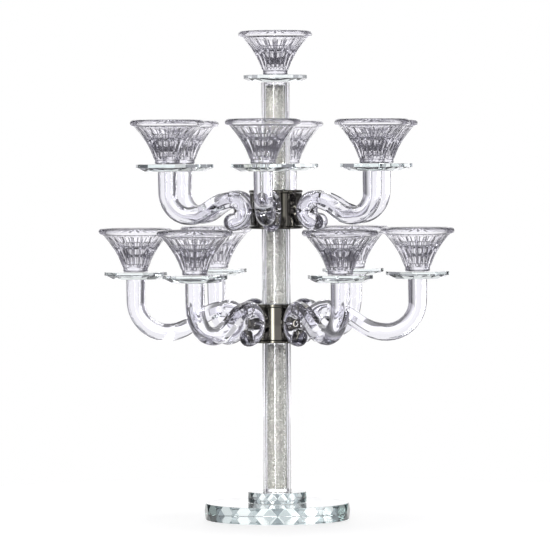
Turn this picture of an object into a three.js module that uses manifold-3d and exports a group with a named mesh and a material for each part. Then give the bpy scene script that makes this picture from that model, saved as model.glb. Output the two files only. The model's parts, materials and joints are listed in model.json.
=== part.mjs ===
// A thirteen-light crystal candelabrum: a faceted glass foot, a clear stem filled with crushed glass, two
// metal hubs that each carry six scrolled glass arms, and a drip disc and a candle cup on every light.
//
// Millimetres, +Z up. The origin is the middle of the foot's underside, and -Y is the front.
import * as THREE from "three";
import { mergeVertices } from "three/addons/utils/BufferGeometryUtils.js";
import Module from "manifold-3d";

const wasm = await Module();
wasm.setup();

// ---- Driving dimensions ---------------------------------------------------------------------------------

const BOND = 0.3; // the film of clear adhesive, or the running gap, between two pieces that meet
const ROUND_SIDES = 20; // sides of the tubes, plates and drums

const FOOT = { radius: 75, height: 17, facets: 20, topCut: 1.1, bottomCut: 1.1 };
const PEDESTAL = { radius: 31, height: 11, facets: 18, topCut: 0.75, bottomCut: 0.75 };

const SLEEVE = { outer: 14.7, inner: 13.4 };
const VIAL = { outer: 12.2, inner: 11.3 };
const FILL_RADIUS = VIAL.inner - BOND;

const HUB = { radius: 27, lip: 27.7, height: 40, plate: 3, wall: 3, recess: 2 };
const NIPPLE = { outer: 5, inner: 3.5 };
const SPIDER = { outer: 10, height: 12, stud: 1.8, studSides: 8, intoArm: 6 };
const LOWER_HUB_Z = 182.2; // underside of the lower hub
const UPPER_HUB_Z = 299.3; // underside of the upper hub
const STEM_TOP_Z = 449.7; // where the top drip disc is bonded on

const ROD_RADIUS = 9.75; // of the glass rod that the arms are bent from
const ROD_SIDES = 8;
const ROD_STEP = 12; // length of one straight stretch of a bent rod
const LIGHTS_PER_TIER = 6;

// turn: of the first arm from the front, in degrees. reach: from the stem's middle line to a light's.
// bend: the radius between a post and its slope. low, crest: heights of the rod's middle line at its lowest
// and at the top of the scroll. curl: radius of the scroll. top: where the drip disc is bonded on.
const LOWER_TIER = {
  hubZ: LOWER_HUB_Z, turn: -34, reach: 145.5, bend: 32, low: 192.8, crest: 217, curl: 14, top: 247.4,
};
const UPPER_TIER = {
  hubZ: UPPER_HUB_Z, turn: -6, reach: 120.5, bend: 24, low: 313.2, crest: 329.6, curl: 11.6, top: 358.4,
};

const DISC = { radius: 32.5, underside: 24, height: 7.3, edge: 3.5, sides: 12 };
const CUP = {
  height: 45, rim: 38, lip: 5, neck: 33, neckZ: 38, waist: 22.5, waistZ: 24, foot: 13, footHeight: 5,
  mouth: 32, funnelFloor: 17.5, funnelZ: 28, socket: 11, draft: 0.3, socketFloor: 8, sides: 16,
};

// ---- Materials ------------------------------------------------------------------------------------------

function material(color, roughness, metalness) {
  return new THREE.MeshStandardMaterial({ color, roughness, metalness });
}

const CRYSTAL = material(0xf2f3f7, 0.03, 0);
const FOOT_GLASS = material(0xd8e8e4, 0.03, 0);
const TUBE_GLASS = material(0xf6f6fa, 0.03, 0);
const CRUSHED_GLASS = material(0xb9b7ae, 0.5, 0);
const NICKEL = material(0x8d8a7e, 0.12, 1);
const STEEL = material(0xa8a9ab, 0.35, 1);

// ---- Solids ---------------------------------------------------------------------------------------------

// A closed three.js geometry as a solid that can be joined and cut.
function solidOf(geometry) {
  const bare = geometry.index ? geometry.toNonIndexed() : geometry.clone();
  bare.deleteAttribute("normal");
  bare.deleteAttribute("uv");
  const merged = mergeVertices(bare, 1e-4);
  const vertProperties = merged.attributes.position.array;
  const triVerts = new Uint32Array(merged.index.array);
  return new wasm.Manifold(new wasm.Mesh({ numProp: 3, vertProperties, triVerts }));
}

// The solid back as a three.js geometry.
function geometryOf(solid) {
  const { vertProperties, triVerts } = solid.getMesh();
  const geometry = new THREE.BufferGeometry();
  geometry.setAttribute("position", new THREE.BufferAttribute(vertProperties, 3));
  geometry.setIndex(new THREE.BufferAttribute(triVerts, 1));
  return geometry;
}

// A solid of revolution about Z. The profile is a list of [radius, height], upwards on the outside.
function turned(profile, sides = ROUND_SIDES) {
  const points = profile.map(([radius, z]) => new THREE.Vector2(radius, z));
  return new THREE.LatheGeometry(points, sides).rotateX(Math.PI / 2);
}

function disc(radius, bottom, top, sides) {
  return turned([[0, bottom], [radius, bottom], [radius, top], [0, top]], sides);
}

function ring(inner, outer, bottom, top, sides) {
  return turned([[inner, bottom], [outer, bottom], [outer, top], [inner, top], [inner, bottom]], sides);
}

// A pin that lies along -Y, from one distance off the axis to another.
function radialPin(radius, sides, from, to, z) {
  const pin = new THREE.CylinderGeometry(radius, radius, to - from, sides);
  return pin.translate(0, -(from + to) / 2, z);
}

// ---- The foot and the pedestal --------------------------------------------------------------------------

// A many-sided prism whose upright edges are cut back by a sloping facet from mid-height to the top face, and
// by another from mid-height to the underside, so that lozenges are left between pairs of triangles.
function facetedDisc({ radius, height, facets, topCut, bottomCut }, bottom) {
  const middle = height / 2;
  const flatToCorner = 1 / Math.cos(Math.PI / facets);
  const upper = (radius - topCut) * flatToCorner;
  const belowUpper = (radius + topCut) * flatToCorner;
  const lower = (radius - bottomCut) * flatToCorner;
  const aboveLower = (radius + bottomCut) * flatToCorner;
  const prism = new THREE.CylinderGeometry(radius, radius, height, facets);
  const topCone = new THREE.CylinderGeometry(upper, belowUpper, height, facets);
  const bottomCone = new THREE.CylinderGeometry(aboveLower, lower, height, facets);
  const halfFacet = Math.PI / facets;
  const cut = solidOf(prism)
    .intersect(solidOf(topCone.rotateY(halfFacet)))
    .intersect(solidOf(bottomCone.rotateY(halfFacet)));
  return geometryOf(cut).rotateX(Math.PI / 2).translate(0, 0, bottom + middle);
}

// ---- The stem -------------------------------------------------------------------------------------------

// One length of stem: a clear outer sleeve, a vial with a closed bottom inside it, and the crushed glass in
// the vial, which has settled a little below the mouth.
function stemLength(name, bottom, top, floor, settled) {
  const fillBottom = bottom + floor + BOND;
  const { inner, outer } = VIAL;
  const vial = turned([
    [0, bottom], [outer, bottom], [outer, top], [inner, top], [inner, bottom + floor], [0, bottom + floor],
  ]);
  return [
    piece(`${name}_sleeve`, ring(SLEEVE.inner, SLEEVE.outer, bottom, top), TUBE_GLASS),
    piece(`${name}_vial`, vial, TUBE_GLASS),
    piece(`${name}_crushed_glass`, disc(FILL_RADIUS, fillBottom, top - settled), CRUSHED_GLASS),
  ];
}

// ---- The hubs -------------------------------------------------------------------------------------------

const hubMiddle = (tier) => tier.crest - tier.curl; // the height at which the arms meet the drum

// The two plates and the nipple between them belong to the stem.
function hubPlates(name, { hubZ }) {
  const hole = NIPPLE.outer + BOND;
  const top = hubZ + HUB.height;
  const recessFloor = top - HUB.recess;
  const socket = SLEEVE.outer + BOND;
  const topPlate = turned([
    [hole, top - HUB.plate], [HUB.lip, top - HUB.plate], [HUB.lip, top], [socket, top],
    [socket, recessFloor], [hole, recessFloor], [hole, top - HUB.plate],
  ]);
  const bottomPlate = ring(hole, HUB.lip, hubZ, hubZ + HUB.plate);
  const nipple = ring(NIPPLE.inner, NIPPLE.outer, hubZ + BOND, recessFloor - BOND, 16);
  return [
    piece(`${name}_hub_bottom_plate`, bottomPlate, NICKEL),
    piece(`${name}_hub_top_plate`, topPlate, NICKEL),
    piece(`${name}_hub_nipple`, nipple, STEEL),
  ];
}

// The shape that clears room for a stud along -Y.
function studHole(tier, from, to) {
  return radialPin(SPIDER.stud + BOND, SPIDER.studSides, from, to, hubMiddle(tier));
}

// The drum turns between the plates. Its holes pass the six studs of the spider inside it.
function hubDrum(name, tier) {
  const inner = HUB.radius - HUB.wall;
  const low = tier.hubZ + HUB.plate + BOND;
  const high = tier.hubZ + HUB.height - HUB.plate - BOND;
  let drum = solidOf(ring(inner, HUB.radius, low, high));
  for (const angle of armAngles(tier)) {
    const hole = studHole(tier, inner - 1, HUB.radius + 1);
    drum = drum.subtract(solidOf(hole.rotateZ(angle)));
  }
  return piece(`${name}_hub_drum`, geometryOf(drum), NICKEL);
}

function hubSpider(name, tier) {
  const middle = hubMiddle(tier);
  const bore = NIPPLE.outer + BOND;
  const half = SPIDER.height / 2;
  let spider = solidOf(ring(bore, SPIDER.outer, middle - half, middle + half, 18));
  for (const angle of armAngles(tier)) {
    const from = (bore + SPIDER.outer) / 2;
    const stud = radialPin(SPIDER.stud, SPIDER.studSides, from, HUB.radius + SPIDER.intoArm, middle);
    spider = spider.add(solidOf(stud.rotateZ(angle)));
  }
  return piece(`${name}_arm_spider`, geometryOf(spider), STEEL);
}

// ---- The arms -------------------------------------------------------------------------------------------

// The middle line of an arm in the plane of its tier's axis: down the post, round the bend, up the slope to
// the crest, and over into the scroll that stands against the drum.
function armLine({ reach, bend, low, crest, curl, top }) {
  const at = (out, z) => new THREE.Vector3(0, -out, z);
  const scrollIn = HUB.radius + BOND + ROD_RADIUS;
  const scrollOut = scrollIn + curl;
  const lowOut = reach - bend;
  const bendTop = low + bend;
  const lean = 0.45 * (lowOut - scrollOut);
  const quarter = (4 / 3) * (Math.SQRT2 - 1); // times the radius, the Bezier handle of a quarter circle
  const handle = quarter * curl;
  const middle = crest - curl;
  const line = new THREE.CurvePath();
  line.add(new THREE.LineCurve3(at(reach, top), at(reach, bendTop)));
  line.add(new THREE.CubicBezierCurve3(
    at(reach, bendTop), at(reach, bendTop - quarter * bend),
    at(lowOut + quarter * bend, low), at(lowOut, low),
  ));
  line.add(new THREE.CubicBezierCurve3(
    at(lowOut, low), at(lowOut - lean, low), at(scrollOut + lean, crest), at(scrollOut, crest),
  ));
  line.add(new THREE.CubicBezierCurve3(
    at(scrollOut, crest), at(scrollOut - handle, crest),
    at(scrollIn, middle + handle), at(scrollIn, middle),
  ));
  line.add(new THREE.CubicBezierCurve3(
    at(scrollIn, middle), at(scrollIn, middle - handle),
    at(scrollOut - handle, middle - curl), at(scrollOut, middle - curl),
  ));
  return line;
}

function armGeometry(tier) {
  const line = armLine(tier);
  const corners = Array.from({ length: ROD_SIDES }, (_, i) => {
    const angle = ((i + 0.5) * 2 * Math.PI) / ROD_SIDES;
    return new THREE.Vector2(ROD_RADIUS * Math.cos(angle), ROD_RADIUS * Math.sin(angle));
  });
  const steps = Math.round(line.getLength() / ROD_STEP);
  const section = new THREE.Shape(corners);
  const rod = new THREE.ExtrudeGeometry(section, { steps, extrudePath: line, bevelEnabled: false });
  const end = line.getPoint(1);
  const knob = new THREE.SphereGeometry(ROD_RADIUS * 0.97, ROD_SIDES, 5).rotateZ(Math.PI / 2);
  knob.translate(end.x, end.y, end.z);
  const hole = studHole(tier, HUB.radius - 1, HUB.radius + SPIDER.intoArm + BOND);
  return geometryOf(solidOf(rod).add(solidOf(knob)).subtract(solidOf(hole)));
}

// ---- Drip discs and cups --------------------------------------------------------------------------------

// A flat-topped plate, cut back underneath by a wide bevel.
function dripDisc() {
  const { radius, underside, height, edge, sides } = DISC;
  return turned([[0, 0], [underside, 0], [radius, height - edge], [radius, height], [0, height]], sides);
}

// The candle cup: a foot, a flared wall with a plain lip, a funnel inside for a wide light, and a socket
// below it for a taper.
function candleCup() {
  const c = CUP;
  return turned([
    [0, 0], [c.foot, 0], [c.foot + 0.4, c.footHeight], [c.waist, c.waistZ], [c.neck, c.neckZ],
    [c.rim, c.height - c.lip], [c.rim, c.height], [c.mouth, c.height], [c.funnelFloor, c.funnelZ],
    [c.socket + c.draft, c.funnelZ], [c.socket, c.socketFloor], [0, c.socketFloor],
  ], c.sides);
}

// The disc and cup of one light, with the disc's underside a bond above the given point.
function light(name, place) {
  const discBottom = place.clone().add(new THREE.Vector3(0, 0, BOND));
  const cupBottom = discBottom.clone().add(new THREE.Vector3(0, 0, DISC.height + BOND));
  return [
    piece(`${name}_drip_disc`, dripDisc(), CRYSTAL, discBottom),
    piece(`${name}_cup`, candleCup(), CRYSTAL, cupBottom),
  ];
}

// ---- The tiers ------------------------------------------------------------------------------------------

function armAngles({ turn }) {
  const step = 360 / LIGHTS_PER_TIER;
  return Array.from({ length: LIGHTS_PER_TIER }, (_, i) => THREE.MathUtils.degToRad(turn + i * step));
}

// The drum with its spider, and six arms that each carry a light.
function tierGroup(name, tier) {
  const group = new THREE.Group();
  group.add(hubDrum(name, tier), hubSpider(name, tier));
  armAngles(tier).forEach((angle, i) => {
    const branch = new THREE.Group();
    branch.rotation.z = angle;
    branch.add(piece(`${name}_arm_${i + 1}`, armGeometry(tier), CRYSTAL));
    branch.add(...light(`${name}_light_${i + 1}`, new THREE.Vector3(0, -tier.reach, tier.top)));
    group.add(branch);
  });
  return group;
}

function piece(name, geometry, look, place = new THREE.Vector3()) {
  const mesh = new THREE.Mesh(geometry, look);
  mesh.name = name;
  mesh.position.copy(place);
  return mesh;
}

// ---- The whole candelabrum ------------------------------------------------------------------------------

function candelabrum() {
  const whole = new THREE.Group();
  const pedestalZ = FOOT.height + BOND;
  const stemZ = pedestalZ + PEDESTAL.height + BOND;
  const onHub = HUB.height - HUB.recess + BOND; // a length of stem stands in the recess of the hub below it
  whole.add(
    piece("foot_disc", facetedDisc(FOOT, 0), FOOT_GLASS),
    piece("pedestal_disc", facetedDisc(PEDESTAL, pedestalZ), FOOT_GLASS),
    ...stemLength("lower_stem", stemZ, LOWER_HUB_Z - BOND, 3, 4.6),
    ...stemLength("middle_stem", LOWER_HUB_Z + onHub, UPPER_HUB_Z - BOND, 2, 2.6),
    ...stemLength("upper_stem", UPPER_HUB_Z + onHub, STEM_TOP_Z, 2, 4.8),
    piece("stem_top_plug", disc(FILL_RADIUS, STEM_TOP_Z - 2, STEM_TOP_Z), TUBE_GLASS),
    ...hubPlates("lower", LOWER_TIER),
    ...hubPlates("upper", UPPER_TIER),
    tierGroup("lower", LOWER_TIER),
    tierGroup("upper", UPPER_TIER),
    ...light("top_light", new THREE.Vector3(0, 0, STEM_TOP_Z)),
  );
  return whole;
}

export default candelabrum();
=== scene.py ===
import json
import math
import random

import bmesh
import bpy
from mathutils import Matrix, Vector


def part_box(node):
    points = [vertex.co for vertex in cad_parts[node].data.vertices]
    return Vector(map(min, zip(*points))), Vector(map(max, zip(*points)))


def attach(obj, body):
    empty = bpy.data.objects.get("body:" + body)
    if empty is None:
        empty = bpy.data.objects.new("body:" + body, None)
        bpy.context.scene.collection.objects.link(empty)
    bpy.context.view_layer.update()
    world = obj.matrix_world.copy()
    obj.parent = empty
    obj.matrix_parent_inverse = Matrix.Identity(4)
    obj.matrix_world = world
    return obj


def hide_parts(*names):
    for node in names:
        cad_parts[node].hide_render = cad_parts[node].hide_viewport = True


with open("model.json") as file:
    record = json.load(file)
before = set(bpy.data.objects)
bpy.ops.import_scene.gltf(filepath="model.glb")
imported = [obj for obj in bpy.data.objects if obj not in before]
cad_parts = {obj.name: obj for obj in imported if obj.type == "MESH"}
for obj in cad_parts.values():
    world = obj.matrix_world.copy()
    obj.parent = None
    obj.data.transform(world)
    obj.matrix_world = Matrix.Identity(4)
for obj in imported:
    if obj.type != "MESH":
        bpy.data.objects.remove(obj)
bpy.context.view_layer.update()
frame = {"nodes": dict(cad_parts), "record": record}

MM = 0.001
TAU = 2 * math.pi
RECORD = frame["record"]
BODY_OF = {node: body for body, nodes in RECORD["behaviour"]["bodies"].items() for node in nodes}
SLOT_OF = {part["node"]: part["material_slot"] for part in RECORD["subparts"]}


# ---- Camera ------------------------------------------------------------------------------------------

CAMERA_DISTANCE = 4.0
CAMERA_HEIGHT = 0.367
CAMERA_LENS = 254.2  # mm, on a sensor 36 mm wide
AIM = Vector((-0.0013, 0, 0.2516))
ROLL = math.radians(-0.28)


def make_camera():
    data = bpy.data.cameras.new("camera")
    data.sensor_width = 36
    data.lens = CAMERA_LENS
    data.clip_end = 60
    camera = bpy.data.objects.new("camera", data)
    bpy.context.scene.collection.objects.link(camera)
    camera.location = (AIM.x, -CAMERA_DISTANCE, CAMERA_HEIGHT)
    facing = (AIM - camera.location).to_track_quat("-Z", "Y").to_matrix().to_4x4()
    camera.matrix_world = Matrix.Translation(camera.location) @ facing @ Matrix.Rotation(ROLL, 4, "Z")
    bpy.context.scene.camera = camera


# ---- Materials ---------------------------------------------------------------------------------------

class Shader:
    """A material's node tree, with short calls that add and link its nodes."""

    def __init__(self, name):
        self.material = bpy.data.materials.new(name)
        self.material.use_nodes = True
        self.nodes = self.material.node_tree.nodes
        self.links = self.material.node_tree.links
        self.surface = self.nodes["Principled BSDF"]
        self.output = self.nodes["Material Output"]
        self.place = self.nodes.new("ShaderNodeTexCoord").outputs["Object"]

    def set(self, **values):
        for name, value in values.items():
            self.surface.inputs[name.replace("_", " ")].default_value = value

    def link(self, output, name):
        self.links.new(output, self.surface.inputs[name])

    def noise(self, scale, detail=3.0, stretch=(1, 1, 1)):
        node = self.nodes.new("ShaderNodeTexNoise")
        node.inputs["Scale"].default_value = scale
        node.inputs["Detail"].default_value = detail
        self.links.new(self.stretched(stretch), node.inputs["Vector"])
        return node.outputs["Fac"]

    def cells(self, scale, output="Color"):
        node = self.nodes.new("ShaderNodeTexVoronoi")
        node.inputs["Scale"].default_value = scale
        self.links.new(self.place, node.inputs["Vector"])
        return node.outputs[output]

    def stretched(self, stretch):
        node = self.nodes.new("ShaderNodeMapping")
        node.inputs["Scale"].default_value = stretch
        self.links.new(self.place, node.inputs["Vector"])
        return node.outputs["Vector"]

    def ramp(self, value, *stops):
        node = self.nodes.new("ShaderNodeValToRGB")
        elements = node.color_ramp.elements
        while len(elements) < len(stops):
            elements.new(0.5)
        for element, (position, color) in zip(elements, stops):
            element.position = position
            element.color = (*color, 1) if isinstance(color, tuple) else (color, color, color, 1)
        self.links.new(value, node.inputs["Fac"])
        return node.outputs["Color"]

    def range(self, value, low, high):
        node = self.nodes.new("ShaderNodeMapRange")
        node.inputs["To Min"].default_value = low
        node.inputs["To Max"].default_value = high
        self.links.new(value, node.inputs["Value"])
        return node.outputs["Result"]

    def bump(self, height, distance, strength=1.0):
        node = self.nodes.new("ShaderNodeBump")
        node.inputs["Distance"].default_value = distance
        node.inputs["Strength"].default_value = strength
        self.links.new(height, node.inputs["Height"])
        self.link(node.outputs["Normal"], "Normal")

    def upright(self):
        """0 where a face is upright and 1 where it's level."""
        place = self.nodes.new("ShaderNodeTexCoord")
        parts = self.nodes.new("ShaderNodeSeparateXYZ")
        self.links.new(place.outputs["Normal"], parts.inputs[0])
        level = self.nodes.new("ShaderNodeMath")
        level.operation = "ABSOLUTE"
        self.links.new(parts.outputs["Z"], level.inputs[0])
        return level.outputs[0]

    def mix(self, factor, first, second, blend="MIX"):
        node = self.nodes.new("ShaderNodeMix")
        node.data_type = "RGBA"
        node.blend_type = blend
        colors = [socket for socket in node.inputs if socket.type == "RGBA"]
        for socket, value in zip([node.inputs[0], *colors], (factor, first, second)):
            if isinstance(value, bpy.types.NodeSocket):
                self.links.new(value, socket)
            else:
                socket.default_value = value
        return [socket for socket in node.outputs if socket.type == "RGBA"][0]

    def absorb(self, color, density):
        node = self.nodes.new("ShaderNodeVolumeAbsorption")
        node.inputs["Color"].default_value = (*color, 1)
        node.inputs["Density"].default_value = density
        self.links.new(node.outputs["Volume"], self.output.inputs["Volume"])


def clear_glass(name, tint, striae, stretch=(1, 1, 1), cast=None):
    """Polished glass with faint ripples, and the thin film of handling that dulls it in places.

    cast is the colour and the density of what it absorbs, where it's thick enough to show.
    """
    shader = Shader(name)
    shader.set(Base_Color=(*tint, 1), Transmission_Weight=1.0, IOR=1.52, Roughness=0.0)
    shader.link(shader.range(shader.noise(28, 4), 0.0, 0.028), "Roughness")
    shader.bump(shader.noise(60, 2, stretch), striae)
    if cast:
        shader.absorb(*cast)
    return shader.material


GREEN_CAST = ((0.74, 0.9, 0.88), 1.6)  # the colour and the density of what the foot's glass absorbs


def foot_glass():
    """Thick pressed glass, with painted shade that darkens the facets that are cut.

    slant is how far a face is turned from the ray that meets it: the colour of the upright faces goes from
    clear to nearly black with it, a painted shade that moves with the view, so that the ends of the disc
    look dark and green.
    """
    shader = Shader("foot_glass")
    shader.set(Transmission_Weight=1.0, IOR=1.52, Coat_Roughness=0.0)
    slant = shader.nodes.new("ShaderNodeLayerWeight").outputs["Facing"]
    # painted shade: the upright faces go from clear to nearly black as they turn from the ray that meets them
    side = shader.ramp(slant, (0.1, (0.97, 1.0, 1.0)), (0.3, (0.48, 0.53, 0.54)),
                       (0.52, (0.04, 0.065, 0.063)), (0.84, (0.01, 0.027, 0.023)))
    level = shader.upright()
    # painted shade: the cut facets, between upright and level, are given a dark grey colour
    cut = shader.ramp(level, (0.03, (1.0, 1.0, 1.0)), (0.06, (0.36, 0.40, 0.42)), (0.4, (0.36, 0.40, 0.42)))
    # both painted shades together, multiplied
    edge = shader.mix(1.0, side, cut, "MULTIPLY")
    flat = shader.ramp(level, (0.6, 0.0), (0.8, 1.0))
    shader.link(shader.mix(flat, edge, (0.99, 0.995, 0.995, 1)), "Base Color")
    shader.link(flat, "Coat Weight")
    shader.link(shader.range(shader.noise(30, 4), 0.0, 0.025), "Roughness")
    shader.bump(shader.noise(25, 2), 0.004 * MM)
    shader.absorb(*GREEN_CAST)
    return shader.material


def underside_glass():
    """The underside of the foot and the pedestal, ground flat and polished less than the rest."""
    shader = Shader("ground_glass")
    shader.set(Base_Color=(0.97, 0.98, 0.98, 1), Transmission_Weight=1.0, IOR=1.52)
    shader.link(shader.range(shader.noise(220, 5), 0.02, 0.09), "Roughness")
    shader.bump(shader.noise(900, 2), 0.03 * MM)
    shader.absorb(*GREEN_CAST)
    return shader.material


def crushed_glass():
    """Packed chips: most are grey and half clear, some are milky, and a few glow faintly, to stand for sparkle."""
    shader = Shader("crushed_glass")
    chips = shader.cells(520)
    shade = shader.ramp(chips, (0.0, (0.55, 0.55, 0.48)), (0.4, (0.75, 0.75, 0.66)),
                        (0.8, (0.87, 0.87, 0.78)), (1.0, (0.98, 0.98, 0.92)))
    shader.link(shade, "Base Color")
    shader.set(IOR=1.52, Specular_IOR_Level=0.9, Coat_Weight=0.6, Coat_Roughness=0.04)
    # painted glints: a few of the chips glow with a faint light of their own, in place of sparkle
    shader.set(Emission_Color=(1.0, 1.0, 0.96, 1))
    shader.link(shader.ramp(shader.cells(800), (0.80, 0.0), (0.82, 0.42)), "Emission Strength")
    shader.link(shader.range(shader.cells(380, "Distance"), 0.08, 0.4), "Roughness")
    shader.bump(shader.cells(900, "Distance"), 0.25 * MM)
    return shader.material


def dark_nickel():
    """Mirror-polished dark plate, slightly warm, with the faintest turning lines and a little haze."""
    shader = Shader("hub_nickel")
    tone = shader.ramp(shader.noise(45, 5), (0.3, (0.105, 0.101, 0.083)), (0.7, (0.135, 0.130, 0.108)))
    shader.link(tone, "Base Color")
    shader.set(Metallic=1.0)
    shader.link(shader.range(shader.noise(90, 5, (1, 1, 9)), 0.03, 0.11), "Roughness")
    shader.bump(shader.noise(40, 3, (1, 1, 60)), 0.01 * MM, 0.6)
    return shader.material


def plain_steel():
    """Turned steel, dull, with fine rings along its length."""
    shader = Shader("plain_steel")
    tone = shader.ramp(shader.noise(70, 5), (0.3, (0.60, 0.59, 0.57)), (0.7, (0.76, 0.75, 0.73)))
    shader.link(tone, "Base Color")
    shader.set(Metallic=1.0)
    shader.link(shader.range(shader.noise(160, 4, (1, 1, 12)), 0.25, 0.45), "Roughness")
    shader.bump(shader.noise(60, 3, (1, 1, 40)), 0.02 * MM)
    return shader.material


MATERIALS = {}


def make_materials():
    MATERIALS["foot_glass"] = foot_glass()
    MATERIALS["ground_glass"] = underside_glass()
    MATERIALS["tube_glass"] = clear_glass("tube_glass", (0.985, 0.985, 0.992), 0.004 * MM, (1, 1, 0.08))
    for name, tint, striae, cast in (
        ("arm_glass", (0.905, 0.902, 0.932), 0.012 * MM, ((0.75, 0.74, 0.82), 12.0)),
        ("cup_glass", (0.975, 0.97, 0.985), 0.010 * MM, ((0.63, 0.61, 0.75), 13.0)),
        ("disc_glass", (0.98, 0.985, 0.985), 0.006 * MM, ((0.89, 0.94, 0.94), 14.0)),
    ):
        MATERIALS[name] = clear_glass(name, tint, striae, cast=cast)
    MATERIALS["crushed_glass"] = crushed_glass()
    MATERIALS["hub_nickel"] = dark_nickel()
    MATERIALS["plain_steel"] = plain_steel()


# ---- Mesh building -----------------------------------------------------------------------------------

def new_mesh(name, points, faces, sharp=None):
    """A mesh with its faces pointing out, smooth but for edges past the angle given, or flat for None."""
    mesh = bpy.data.meshes.new(name)
    mesh.from_pydata([tuple(p) for p in points], [], faces)
    work = bmesh.new()
    work.from_mesh(mesh)
    bmesh.ops.recalc_face_normals(work, faces=work.faces)
    work.to_mesh(mesh)
    work.free()
    if sharp is not None:
        shade_smooth(mesh, sharp)
    return mesh


def shade_smooth(mesh, sharp):
    for polygon in mesh.polygons:
        polygon.use_smooth = True
    mesh.set_sharp_from_angle(angle=math.radians(sharp))


def band(first, second, count):
    """Quads between two rings of points that start at the given indices."""
    return [(first + i, first + (i + 1) % count, second + (i + 1) % count, second + i) for i in range(count)]


def around(angle, radius, z):
    """A point at an angle from the front, counted towards +X."""
    return Vector((radius * math.sin(angle), -radius * math.cos(angle), z))


def turned(name, profile, count=96, shape=None, sharp=32, closed=False):
    """A turned solid. The profile is (radius, height) in millimetres, and a closed one is a ring's section.

    shape(row, angle, radius) can change a point's radius, in millimetres, for flutes.
    """
    points, rows = [], []
    for row, (radius, z) in enumerate(profile):
        if radius == 0:
            rows.append([len(points)])
            points.append(Vector((0, 0, z * MM)))
            continue
        rows.append([len(points) + i for i in range(count)])
        for i in range(count):
            angle = TAU * i / count
            out = shape(row, angle, radius) if shape else radius
            points.append(around(angle, out * MM, z * MM))
    faces = []
    pairs = list(zip(rows, rows[1:])) + ([(rows[-1], rows[0])] if closed else [])
    for low, high in pairs:
        if len(low) == 1:
            faces += [(low[0], high[(i + 1) % count], high[i]) for i in range(count)]
        elif len(high) == 1:
            faces += [(high[0], low[i], low[(i + 1) % count]) for i in range(count)]
        else:
            faces += band(low[0], high[0], count)
    return new_mesh(name, points, faces, sharp)


def rounded(profile, radius, steps=4):
    """A section's corners rounded, each by its own radius where a point gives one as its third number."""
    out = []
    for i, point in enumerate(profile):
        here = Vector(point[:2])
        amount = point[2] if len(point) > 2 else radius
        if amount == 0 or i in (0, len(profile) - 1) and point[0] == 0:
            out.append(tuple(here))
            continue
        before = Vector(profile[i - 1][:2])
        after = Vector(profile[(i + 1) % len(profile)][:2])
        start = here + (before - here).normalized() * amount
        end = here + (after - here).normalized() * amount
        for k in range(steps + 1):
            t = k / steps
            out.append(tuple(start * (1 - t) ** 2 + here * 2 * t * (1 - t) + end * t ** 2))
    return out


def bevelled(mesh, width, segments=2):
    """Every edge of a flat-faced mesh taken off by a narrow bevel."""
    work = bmesh.new()
    work.from_mesh(mesh)
    bmesh.ops.bevel(work, geom=list(work.edges), offset=width, segments=segments, affect="EDGES", profile=0.5)
    work.to_mesh(mesh)
    work.free()
    return mesh


def drilled(mesh, cutters):
    """The mesh with each cutter's mesh taken out of it."""
    scene = bpy.context.scene.collection
    body = bpy.data.objects.new("drilled", mesh)
    scene.objects.link(body)
    tools = []
    for cutter in cutters:
        tool = bpy.data.objects.new("cutter", cutter)
        scene.objects.link(tool)
        tools.append(tool)
        cut = body.modifiers.new("cut", "BOOLEAN")
        cut.object = tool
        cut.operation = "DIFFERENCE"
        cut.solver = "EXACT"
    bpy.context.view_layer.update()
    made = bpy.data.meshes.new_from_object(body.evaluated_get(bpy.context.evaluated_depsgraph_get()))
    for thing in [body, *tools]:
        bpy.data.objects.remove(thing)
    return made


def place(mesh, name, node, at=(0, 0, 0), turn=0.0):
    """A piece with that mesh, standing for a CAD node, at a point and turned from the front."""
    piece = bpy.data.objects.new(name, mesh)
    bpy.context.scene.collection.objects.link(piece)
    piece.matrix_world = Matrix.Translation(at) @ Matrix.Rotation(turn, 4, "Z")
    if not mesh.materials:
        mesh.materials.append(MATERIALS[SLOT_OF[node]])
    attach(piece, BODY_OF[node])
    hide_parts(node)
    return piece


def middle(node):
    low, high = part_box(node)
    return (low + high) / 2


# ---- The foot and the pedestal -----------------------------------------------------------------------

FOOT_FACETS, FOOT_CUT = 20, 1.1 * MM  # the cut is how far the triangles' bases are set in from the edge
PEDESTAL_FACETS, PEDESTAL_CUT = 18, 0.75 * MM
LOWER_CHAMFER, UPPER_CHAMFER = 0.3 * MM, 0.1 * MM
CUT_BEVEL = 0.1 * MM
LEVEL = 0.95  # a face whose normal is steeper than this is the underside


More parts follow.
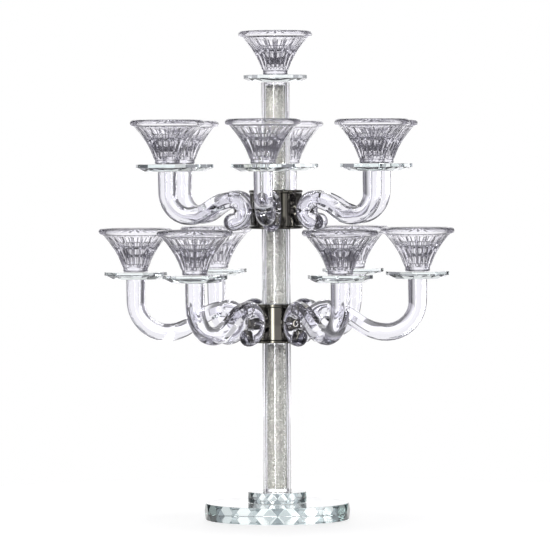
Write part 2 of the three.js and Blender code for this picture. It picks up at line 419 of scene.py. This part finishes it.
def cut_disc(name, node, facets, cut):
    """A thick disc whose edge is cut into lozenges, with a triangle above and below each upright edge."""
    low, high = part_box(node)
    radius = (high.x - low.x) / 2
    bottom, top = low.z, high.z
    half = math.pi / facets
    waist = (bottom + top) / 2
    reach = radius - cut  # from the middle to a triangle's base
    spread = math.atan2((radius - reach) / math.tan(half), reach)  # half of the angle that the base takes up
    inside = math.hypot(reach, (radius - reach) / math.tan(half))
    points, faces = [], []
    count = 2 * facets

    def rings(*levels):
        for z, shrink in levels:
            for k in range(facets):
                for side in (-1, 1):
                    points.append(around(2 * half * k + side * spread, inside - shrink, z))

    rings((bottom, LOWER_CHAMFER), (bottom + LOWER_CHAMFER, 0))
    for k in range(facets):
        points.append(around(2 * half * k, radius, waist))
    rings((top - UPPER_CHAMFER, 0), (top, UPPER_CHAMFER))
    foot, lower, edge = 0, count, 2 * count
    upper, head = edge + facets, edge + facets + count
    faces.append(tuple(foot + i for i in reversed(range(count))))
    faces.append(tuple(head + i for i in range(count)))
    faces += band(foot, lower, count)
    faces += band(upper, head, count)
    for k in range(facets):
        left, right = 2 * k, 2 * k + 1
        following = (2 * k + 2) % count
        apex, next_apex = edge + k, edge + (k + 1) % facets
        faces.append((lower + left, lower + right, apex))
        faces.append((upper + right, upper + left, apex))
        faces.append((lower + right, lower + following, next_apex, upper + following, upper + right, apex))
    mesh = bevelled(new_mesh(name, points, faces), CUT_BEVEL, 1)
    mesh.materials.append(MATERIALS["foot_glass"])
    mesh.materials.append(MATERIALS["ground_glass"])
    for polygon in mesh.polygons:
        polygon.material_index = 1 if polygon.normal.z < -LEVEL else 0
    place(mesh, name, node)


# ---- The stem ----------------------------------------------------------------------------------------

SLEEVE_WALL = 1.2  # millimetres, as all of the sections are
VIAL_WALL = 0.9
GLASS_GAP = 0.3
CHIP_GAP = 0.25
CHIP_SIZE = 1.05 * MM
CHIP_ROW = 1.15  # how far apart the chips' rows are, in chips
CHIP_STEP = 1.25  # how far apart they are in a row
TOP_CHIPS = 160


def ring_section(inner, outer, bottom, top, edge):
    return rounded([(inner, bottom), (outer, bottom), (outer, top), (inner, top)], edge)


def stem_length(which):
    sleeve, vial, fill = (f"{which}_stem_{part}" for part in ("sleeve", "vial", "crushed_glass"))
    low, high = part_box(sleeve)
    bottom, top = low.z / MM, high.z / MM
    outer = (high.x - low.x) / 2 / MM
    section = ring_section(outer - SLEEVE_WALL, outer, bottom, top, 0.3)
    place(turned(f"{which}_sleeve", section, closed=True), f"{which}_sleeve", sleeve)

    low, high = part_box(vial)
    outer = (high.x - low.x) / 2 / MM
    inner = outer - VIAL_WALL
    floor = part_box(fill)[0].z / MM - GLASS_GAP
    corners = [(0, bottom, 0), (outer, bottom), (outer, top), (inner, top), (inner, floor), (0, floor, 0)]
    place(turned(f"{which}_vial", rounded(corners, 0.35)), f"{which}_vial", vial)
    chip_column(f"{which}_chips", fill, inner - CHIP_GAP)


def chip(points, faces, at, size, pick):
    """One splinter: a six-pointed chip with uneven points, turned at random."""
    turn = Matrix.Rotation(pick.uniform(0, TAU), 3, Vector([pick.gauss(0, 1) for _ in range(3)]).normalized())
    start = len(points)
    for axis in range(3):
        for sign in (-1, 1):
            tip = Vector((0, 0, 0))
            tip[axis] = sign * size * pick.uniform(0.55, 1.25)
            points.append(at + turn @ tip)
    for a in (0, 1):
        for b in (2, 3):
            for c in (4, 5):
                order = (a, b, c) if (a + b + c) % 2 == 0 else (a, c, b)
                faces.append(tuple(start + i for i in order))


def chip_column(name, node, radius):
    """A length of crushed glass: a dull core under a packed skin of chips."""
    pick = random.Random(name)
    low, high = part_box(node)
    size = CHIP_SIZE
    core = radius * MM - 1.6 * size
    points, faces = [], []
    rows = int((high.z - low.z) / size / CHIP_ROW)
    for row in range(rows):
        z = low.z + size + (high.z - low.z - 2 * size) * row / (rows - 1)
        count = int(TAU * core / size / CHIP_STEP)
        for i in range(count):
            angle = TAU * (i + pick.uniform(0, 1)) / count
            out = radius * MM - size * pick.uniform(1.25, 1.9)
            chip(points, faces, around(angle, out, z + pick.uniform(-0.5, 0.5) * size), size, pick)
    for _ in range(TOP_CHIPS):
        out = core * math.sqrt(pick.random())
        at = around(pick.uniform(0, TAU), out, high.z - size * pick.uniform(1.25, 1.7))
        chip(points, faces, at, size, pick)
    start = len(points)
    sides = 32
    for z in (low.z, high.z - 1.6 * size):
        points += [around(TAU * i / sides, core, z) for i in range(sides)]
    faces += band(start, start + sides, sides)
    faces.append(tuple(start + i for i in reversed(range(sides))))
    faces.append(tuple(start + sides + i for i in range(sides)))
    place(new_mesh(name, points, faces), name, node)


# ---- The hubs ----------------------------------------------------------------------------------------

STUD_RADIUS = 1.8
STUD_ROOM = 0.3
DRUM_WALL = 3
PLATE_BORE = 5.3
SOCKET_RADIUS, SOCKET_DEPTH = 15.0, 2  # the seat in a top plate for the next length of the stem


def stud_cutter(angle, start, end, z):
    """A round bar, a little wider than a stud, along the angle given."""
    radius = STUD_RADIUS + STUD_ROOM
    bar = turned("bar", [(0, start), (radius, start), (radius, end), (0, end)], 24)
    lying = Matrix.Rotation(angle, 4, "Z") @ Matrix.Rotation(TAU / 4, 4, "X")
    bar.transform(Matrix.Translation((0, 0, z)) @ lying)
    return bar


def hub(tier, angles):
    low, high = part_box(f"{tier}_hub_drum")
    radius = (high.x - low.x) / 2 / MM
    bottom, top = low.z / MM, high.z / MM
    stud_z = middle(f"{tier}_arm_spider").z
    section = ring_section(radius - DRUM_WALL, radius, bottom, top, 0.35)
    drum = turned(f"{tier}_drum", section, 128, closed=True)
    drum = drilled(drum, [stud_cutter(angle, radius - 5, radius + 3, stud_z) for angle in angles])
    place(drum, f"{tier}_drum", f"{tier}_hub_drum")

    for which, recess in (("bottom", 0), ("top", SOCKET_DEPTH)):
        node = f"{tier}_hub_{which}_plate"
        low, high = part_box(node)
        lip = (high.x - low.x) / 2 / MM
        bottom, top = low.z / MM, high.z / MM
        section = [(PLATE_BORE, bottom, 0.2), (lip, bottom, 1.1), (lip, top, 1.1)]
        if recess:
            section += [(SOCKET_RADIUS, top, 0.3), (SOCKET_RADIUS, top - recess, 0.2)]
        section += [(PLATE_BORE, top - recess, 0.2)]
        name = f"{tier}_{which}_lip"
        place(turned(name, rounded(section, 0.3), 128, closed=True), name, node)


# ---- The arms ----------------------------------------------------------------------------------------

ROD_RADIUS = 9.75  # of the CAD rod, between corners
POST_RADIUS = 9.8
BENT_RADIUS = 9.25  # the rod is drawn a little thinner where it is bent
ROD_FACETS = 8
FACET_DEPTH = 0.125  # how deep the slope's facets are cut, as a share of the rod's radius
TIERS = {
    "lower": {"bend": 32, "low": 192.8, "curl": 14},
    "upper": {"bend": 24, "low": 313.2, "curl": 11.6},
}


def bezier(a, b, c, d, t):
    s = 1 - t
    return a * s ** 3 + b * 3 * s * s * t + c * 3 * s * t * t + d * t ** 3


def arm_line(tier, reach, top, stud_z, hub_radius):
    """Points down the post, round the bend, up the slope and round the scroll, with a name for each."""
    shape = TIERS[tier]
    bend, low, curl = shape["bend"], shape["low"], shape["curl"]
    scroll_in = hub_radius + 0.3 + ROD_RADIUS
    scroll_out = scroll_in + curl
    crest = stud_z + curl
    low_out = reach - bend
    lean = 0.45 * (low_out - scroll_out)
    quarter = 4 / 3 * (math.sqrt(2) - 1)
    handle = quarter * curl
    P = lambda out, z: Vector((out, z))
    line = [(P(reach, top + (low + bend - top) * k / 8), "post") for k in range(8)]
    end = stud_z - curl
    stretches = [
        ("bend", 30, P(reach, low + bend), P(reach, low + bend * (1 - quarter)),
         P(low_out + quarter * bend, low), P(low_out, low)),
        ("slope", 44, P(low_out, low), P(low_out - lean, low),
         P(scroll_out + lean, crest), P(scroll_out, crest)),
        ("scroll", 20, P(scroll_out, crest), P(scroll_out - handle, crest),
         P(scroll_in, stud_z + handle), P(scroll_in, stud_z)),
        ("scroll", 20, P(scroll_in, stud_z), P(scroll_in, stud_z - handle),
         P(scroll_out - handle, end), P(scroll_out, end)),
    ]
    for name, count, *handles in stretches:
        line += [(bezier(*handles, k / count), name) for k in range(count)]
    line.append((stretches[-1][-1], "scroll"))
    return line


def smooth(value, low, high):
    t = min(1.0, max(0.0, (value - low) / (high - low)))
    return t * t * (3 - 2 * t)


def rod_radius(angle, along):
    """The rod's radius round its section. along is where the point is on the slope, from 0 to 1, or None."""
    if along is None:
        return 1.0
    depth = FACET_DEPTH * smooth(along, 0.0, 0.42) * (1 - smooth(along, 0.94, 0.985))
    sector = TAU / ROD_FACETS
    off = ((angle + sector / 2) % sector) - sector / 2
    return min(1.0, (1 - depth) / math.cos(off))


def arm_mesh(tier, reach, top, stud_z, hub_radius):
    """One arm, standing out along the front."""
    line = arm_line(tier, reach, top, stud_z, hub_radius)
    count = 128
    slope = [i for i, (_, name) in enumerate(line) if name == "slope"]
    low = TIERS[tier]["low"]
    stations = []
    for i, (point, name) in enumerate(line):
        before = line[max(0, i - 1)][0]
        after = line[min(len(line) - 1, i + 1)][0]
        along = (i - slope[0]) / len(slope) if name == "slope" else None
        thin = smooth(top - point.y, 4, top - low - 12) if name in ("post", "bend") else 1.0
        radius = POST_RADIUS + (BENT_RADIUS - POST_RADIUS) * thin
        stations.append((point, (after - before).normalized(), radius, along))
    first, heading, radius, _ = stations[0]
    stations[0] = (first, heading, radius - 0.4, None)
    stations.insert(1, (first + heading * 0.4, heading, radius, None))
    point, heading, radius, _ = stations[-1]
    for k in range(1, 10):
        angle = k / 10 * TAU / 4
        stations.append((point + heading * radius * math.sin(angle), heading, radius * math.cos(angle), None))
    tip = point + heading * radius

    points, faces = [], []
    for point, heading, radius, along in stations:
        side = Vector((-heading.y, heading.x))  # in the arm's plane, square to its line
        for i in range(count):
            angle = TAU * i / count
            out = radius * rod_radius(angle, along)
            in_plane = point + side * out * math.cos(angle)
            points.append(Vector((out * math.sin(angle), -in_plane.x, in_plane.y)) * MM)
    for k in range(len(stations) - 1):
        faces += band(k * count, (k + 1) * count, count)
    faces.append(tuple(reversed(range(count))))
    last = (len(stations) - 1) * count
    points.append(Vector((0, -tip.x, tip.y)) * MM)
    faces += [(last + i, last + (i + 1) % count, len(points) - 1) for i in range(count)]
    mesh = new_mesh(f"{tier}_arm", points, faces)
    mesh = drilled(mesh, [stud_cutter(0, hub_radius - 2, hub_radius + 6.3, stud_z * MM)])
    mesh.name = f"{tier}_arm"
    shade_smooth(mesh, 8)
    return mesh


# ---- Drip discs and cups -----------------------------------------------------------------------------

DISC_SIDES = 12
DISC_RADIUS, DISC_UNDERSIDE = 32.5, 24.5  # between corners
DISC_EDGE = 3.5  # how thick the upright edge is


def disc_mesh():
    low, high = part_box("top_light_drip_disc")
    height = (high.z - low.z) / MM
    profile = [(DISC_UNDERSIDE, 0), (DISC_RADIUS, height - DISC_EDGE), (DISC_RADIUS, height)]
    count = DISC_SIDES
    points, faces = [], []
    for out, z in profile:
        points += [around(TAU * i / count, out * MM, z * MM) for i in range(count)]
    faces.append(tuple(reversed(range(count))))
    faces += band(0, count, count) + band(count, 2 * count, count)
    faces.append(tuple(2 * count + i for i in range(count)))
    mesh = bevelled(new_mesh("drip_disc", points, faces), 0.18 * MM)
    mesh.materials.append(MATERIALS["disc_glass"])
    return mesh


FLUTES = 20
GROOVE_STEPS = (-1.0, -0.55, -0.1, 0.1, 0.55, 1.0)  # places across a groove, as shares of its half width
PANEL_STEPS = (0.22, 0.5, 0.78)  # places across the panel between two grooves


def cup_ring(radius, z, depth, half):
    """One ring of a cup: flat panels parted by V grooves, half of a groove being that share of the pitch."""
    share = half or 0.16
    places = [(step * share, depth * (1 - abs(step))) for step in GROOVE_STEPS]
    places += [(share + (1 - 2 * share) * step, 0.0) for step in PANEL_STEPS]
    points = []
    for flute in range(FLUTES):
        for across, cut in places:
            off = (across - 0.5) * TAU / FLUTES if across > 0 else (across + 0.5) * TAU / FLUTES
            flat = math.cos(math.pi / FLUTES) / math.cos(off) if depth else 1.0
            points.append(around(TAU * (flute + across) / FLUTES, (radius * flat - cut) * MM, z * MM))
    return points


def cup_mesh():
    """The fluted candle cup, up the outside and down the inside.

    A row is a radius and a height, and where there are grooves, their depth and half width.
    """
    outside = [
        (12.0, 0), (12.6, 0.3), (12.9, 0.9), (12.7, 2.6), (12.9, 4.3), (13.2, 4.8),
        (13.8, 5.3, 1.0, 0.2), (14.4, 6.6, 1.7, 0.21), (15.4, 9.3, 1.9, 0.21), (16.9, 13.2, 2.1, 0.21),
        (18.9, 17.2, 2.3, 0.2), (21.3, 21.4, 2.5, 0.195), (23.9, 25.4, 2.6, 0.19), (26.6, 29.2, 2.6, 0.18),
        (29.2, 32.5, 2.4, 0.16), (31.5, 35.2, 1.9, 0.125), (33.0, 36.9, 0.9, 0.08), (33.6, 37.7),
    ]
    lip_middle, lip_radius = (34.9, 41.6), (3.3, 3.4)
    lip = []
    for k in range(13):
        angle = math.radians(-115 + 268 * k / 12)
        across, up = lip_radius[0] * math.cos(angle), lip_radius[1] * math.sin(angle)
        lip.append((lip_middle[0] + across, lip_middle[1] + up))
    inside = [
        (31.2, 39.2), (30.2, 38.4), (29.6, 37.6), (24.8, 32.5), (20.4, 28.0), (19.6, 27.3), (18.6, 26.9),
        (13.2, 26.2), (11.8, 25.9), (11.3, 25.2), (11.1, 17.0), (11.0, 9.4), (10.7, 8.5), (10.0, 8.0),
    ]
    points, faces = [Vector((0, 0, 0))], []
    count = FLUTES * (len(GROOVE_STEPS) + len(PANEL_STEPS))
    for radius, z, *groove in outside + lip + inside:
        depth, half = groove or (0, 0)
        points += cup_ring(radius, z, depth, half)
    points.append(Vector((0, 0, inside[-1][1] * MM)))
    last = len(points) - 1 - count
    faces += [(0, 1 + (i + 1) % count, 1 + i) for i in range(count)]
    for start in range(1, last, count):
        faces += band(start, start + count, count)
    faces += [(last + i, last + (i + 1) % count, len(points) - 1) for i in range(count)]
    return new_mesh("cup", points, faces, 24)


# ---- The tiers ---------------------------------------------------------------------------------------

def light(name, disc, cup, turn):
    at = middle(f"{name}_drip_disc")
    place(disc, f"{name}_disc", f"{name}_drip_disc", (at.x, at.y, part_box(f"{name}_drip_disc")[0].z), turn)
    place(cup, f"{name}_candle_cup", f"{name}_cup", (at.x, at.y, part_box(f"{name}_cup")[0].z), turn)


def tier(which, disc, cup):
    spots = [middle(f"{which}_light_{i}_drip_disc") for i in range(1, 7)]
    angles = [math.atan2(spot.x, -spot.y) for spot in spots]
    reach = spots[0].xy.length / MM
    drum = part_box(f"{which}_hub_drum")
    hub_radius = (drum[1].x - drum[0].x) / 2 / MM
    stud_z = middle(f"{which}_arm_spider").z / MM
    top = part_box(f"{which}_arm_1")[1].z / MM
    arm = arm_mesh(which, reach, top, stud_z, hub_radius)
    hub(which, angles)
    for i, angle in enumerate(angles, 1):
        place(arm, f"{which}_scroll_arm_{i}", f"{which}_arm_{i}", turn=angle)
        light(f"{which}_light_{i}", disc, cup, angle)


HIDDEN = ("lower_hub_nipple", "upper_hub_nipple", "lower_arm_spider", "upper_arm_spider", "stem_top_plug")


def hidden_pieces():
    """The CAD solids that stay as they are, out of sight."""
    for node in HIDDEN:
        for slot in frame["nodes"][node].material_slots:
            slot.material = MATERIALS[SLOT_OF[node]]


# ---- The studio --------------------------------------------------------------------------------------

FLOOR_RADIUS = 0.52
FLOOR_SIDES = 96
FLOOR_HEIGHT = -0.0002  # just clear of the foot


def make_floor():
    """A round white table top, whose colour runs out to the backdrop's.

    That is for a ray that comes straight from the camera. The glass sees it glow bright at a grazing angle
    and from straight above, and dim between: a painted reflection, a glow in place of the floor's own gloss.
    """
    points = [around(TAU * i / FLOOR_SIDES, FLOOR_RADIUS, FLOOR_HEIGHT) for i in range(FLOOR_SIDES)]
    floor = bpy.data.objects.new("floor", new_mesh("floor", points, [tuple(range(FLOOR_SIDES))]))
    bpy.context.scene.collection.objects.link(floor)
    shader = Shader("floor")
    shader.set(Base_Color=(0.3, 0.3, 0.3, 1), Roughness=0.6, Specular_IOR_Level=0.1)
    shader.set(Emission_Color=(1, 1, 1, 1))
    slant = shader.nodes.new("ShaderNodeLayerWeight").outputs["Facing"]
    # painted reflection: the floor's glow, as the glass sees it, follows the angle it is met at
    painted_reflection_glow = shader.ramp(slant, (0.04, 0.8), (0.12, 0.05), (0.5, 0.06), (0.75, 0.55), (0.88, 0.86))
    span = shader.nodes.new("ShaderNodeVectorMath")
    span.operation = "LENGTH"
    shader.links.new(shader.place, span.inputs[0])
    white = shader.ramp(span.outputs["Value"], (0.12, 0.80), (0.4, 1.0))
    seen = shader.nodes.new("ShaderNodeLightPath").outputs["Is Camera Ray"]
    shader.link(shader.mix(seen, painted_reflection_glow, white), "Emission Strength")
    floor.data.materials.append(shader.material)


DIM = 0.09  # how bright the studio is between its lights
TABLE = 0.4  # how bright the studio is below the horizon
LILAC = (0.93, 0.91, 1.0, 1)  # the studio's own light


def make_world():
    """A dim studio with narrow white walls, so that the glass is edged with dark lines.

    That is what the glass and the metal see. A ray that comes straight from the camera sees plain white.
    """
    world = bpy.data.worlds.new("studio")
    bpy.context.scene.world = world
    world.use_nodes = True
    nodes, links = world.node_tree.nodes, world.node_tree.links
    background = nodes["Background"]

    def calculate(operation, *values):
        node = nodes.new("ShaderNodeMath")
        node.operation = operation
        for socket, value in zip(node.inputs, values):
            if isinstance(value, (int, float)):
                socket.default_value = value
            else:
                links.new(value, socket)
        return node.outputs[0]

    def ramp(value, *stops):
        node = nodes.new("ShaderNodeValToRGB")
        elements = node.color_ramp.elements
        while len(elements) < len(stops):
            elements.new(0.5)
        for element, (position, shade) in zip(elements, stops):
            element.position = position / 180
            element.color = (shade, shade, shade, 1)
        links.new(value, node.inputs["Fac"])
        return node.outputs["Color"]

    direction = nodes.new("ShaderNodeSeparateXYZ")
    links.new(nodes.new("ShaderNodeTexCoord").outputs["Generated"], direction.inputs[0])
    x, y, z = direction.outputs
    # how far the direction is turned from straight behind the object, and from straight down, in half turns
    turned_off = calculate("DIVIDE", calculate("ARCTAN2", calculate("ABSOLUTE", x), y), math.pi)
    height = calculate("ADD", calculate("DIVIDE", calculate("ARCSINE", z), math.pi), 0.5)
    walls = ramp(turned_off, (38, 0.0), (39, 0.25), (51, 0.25), (52, 0.0), (84, 0.0), (85, 0.8), (95, 0.8),
                 (96, 0.0), (129, 0.0), (130, 0.8), (140, 0.8), (141, 0.0), (158, 0.0), (160, 0.9))
    reach = ramp(height, (55, 0.0), (65, 1.0), (102, 1.0), (108, 0.0))
    below = ramp(height, (60, DIM), (80, TABLE), (86, TABLE), (87, DIM))
    dim = calculate("ADD", calculate("MULTIPLY", walls, reach), below)
    seen = nodes.new("ShaderNodeLightPath").outputs["Is Camera Ray"]
    links.new(calculate("MAXIMUM", dim, seen), background.inputs["Strength"])
    tint = nodes.new("ShaderNodeMix")
    tint.data_type = "RGBA"
    links.new(seen, tint.inputs["Factor"])
    colors = [socket for socket in tint.inputs if socket.type == "RGBA"]
    colors[0].default_value = LILAC
    colors[1].default_value = (1, 1, 1, 1)
    links.new([socket for socket in tint.outputs if socket.type == "RGBA"][0], background.inputs["Color"])


HEART = (0, 0, 0.3)  # what the lights are turned to
BACKDROP_HEIGHT = 0.32
BACKDROPS = ((0.76, 0.3), (0.62, 0.35), (0.48, 0.35))  # width and radiance: they add up, to soft sides
LAMP_REACH, LAMP_HEIGHT = 1.8, 0.4


def make_softbox(name, at, aim, size, radiance, only=None):
    """A soft light. Where only is a collection, the light reaches nothing else."""
    data = bpy.data.lights.new(name, "AREA")
    data.shape = "RECTANGLE"
    data.size, data.size_y = size
    data.energy = radiance * math.pi * size[0] * size[1]
    lamp = bpy.data.objects.new(name, data)
    bpy.context.scene.collection.objects.link(lamp)
    lamp.location = at
    lamp.rotation_euler = (Vector(aim) - Vector(at)).to_track_quat("-Z", "Y").to_euler()
    lamp.visible_camera = False
    if only:
        lamp.light_linking.receiver_collection = only


def joined(firsts, seconds):
    """Every first word joined to every second one."""
    return [f"{first}_{second}" for first in firsts for second in seconds]


def side_lamp(name, degrees, width, radiance, only=None):
    """A tall lamp at an angle from the front."""
    at = around(math.radians(degrees), LAMP_REACH, LAMP_HEIGHT)
    make_softbox(name, at, HEART, (width, 1.6), radiance, only)


def lit_by_itself(names):
    """A collection of the pieces that some of the lights are kept to."""
    group = bpy.data.collections.new("own_lights")
    for name in names:
        group.objects.link(bpy.data.objects[name])
    return group


def make_studio():
    make_floor()
    make_world()
    for step, (width, radiance) in enumerate(BACKDROPS):
        back = 0.42 + 0.005 * step  # apart, because lamps in one plane don't add up
        make_softbox("backdrop", (0, back, BACKDROP_HEIGHT), (0, 0, BACKDROP_HEIGHT), (width, 0.68), radiance)
    stem = lit_by_itself(joined(("lower", "middle", "upper"), ("sleeve", "vial", "chips")))
    hubs = lit_by_itself(joined(("lower", "upper"), ("drum", "top_lip", "bottom_lip")))
    pieces = [piece.name for piece in bpy.context.scene.objects if piece.type == "MESH"]
    others = lit_by_itself(name for name in pieces if not name.endswith("candle_cup"))
    make_softbox("overhead", (-0.2, -0.2, 2.4), HEART, (0.8, 0.8), 3.0, only=others)
    side_lamp("strip_left", -17, 0.2, 13.0, only=others)
    side_lamp("strip_right", 70, 0.16, 8.0, only=others)
    make_softbox("stem_front", (-0.5, -1.7, 1.9), HEART, (2.4, 1.4), 24.0, only=stem)
    side_lamp("hub_left", -58, 0.8, 1.4, only=hubs)
    side_lamp("hub_streak", -17, 0.5, 4.0, only=hubs)
    side_lamp("hub_right", 35, 0.3, 1.2, only=hubs)
    scene = bpy.context.scene
    scene.view_settings.view_transform = "Standard"
    scene.cycles.sample_clamp_indirect = 40
    scene.cycles.max_bounces = 28
    scene.cycles.transmission_bounces = 28
    scene.cycles.glossy_bounces = 8
    scene.cycles.diffuse_bounces = 3


# ---- The whole scene ---------------------------------------------------------------------------------

make_camera()
make_materials()
disc = disc_mesh()
cup = cup_mesh()
cut_disc("foot", "foot_disc", FOOT_FACETS, FOOT_CUT)
cut_disc("pedestal", "pedestal_disc", PEDESTAL_FACETS, PEDESTAL_CUT)
for which in ("lower", "middle", "upper"):
    stem_length(which)
for which in ("lower", "upper"):
    tier(which, disc, cup)
light("top_light", disc, cup, 0)
hidden_pieces()
make_studio()
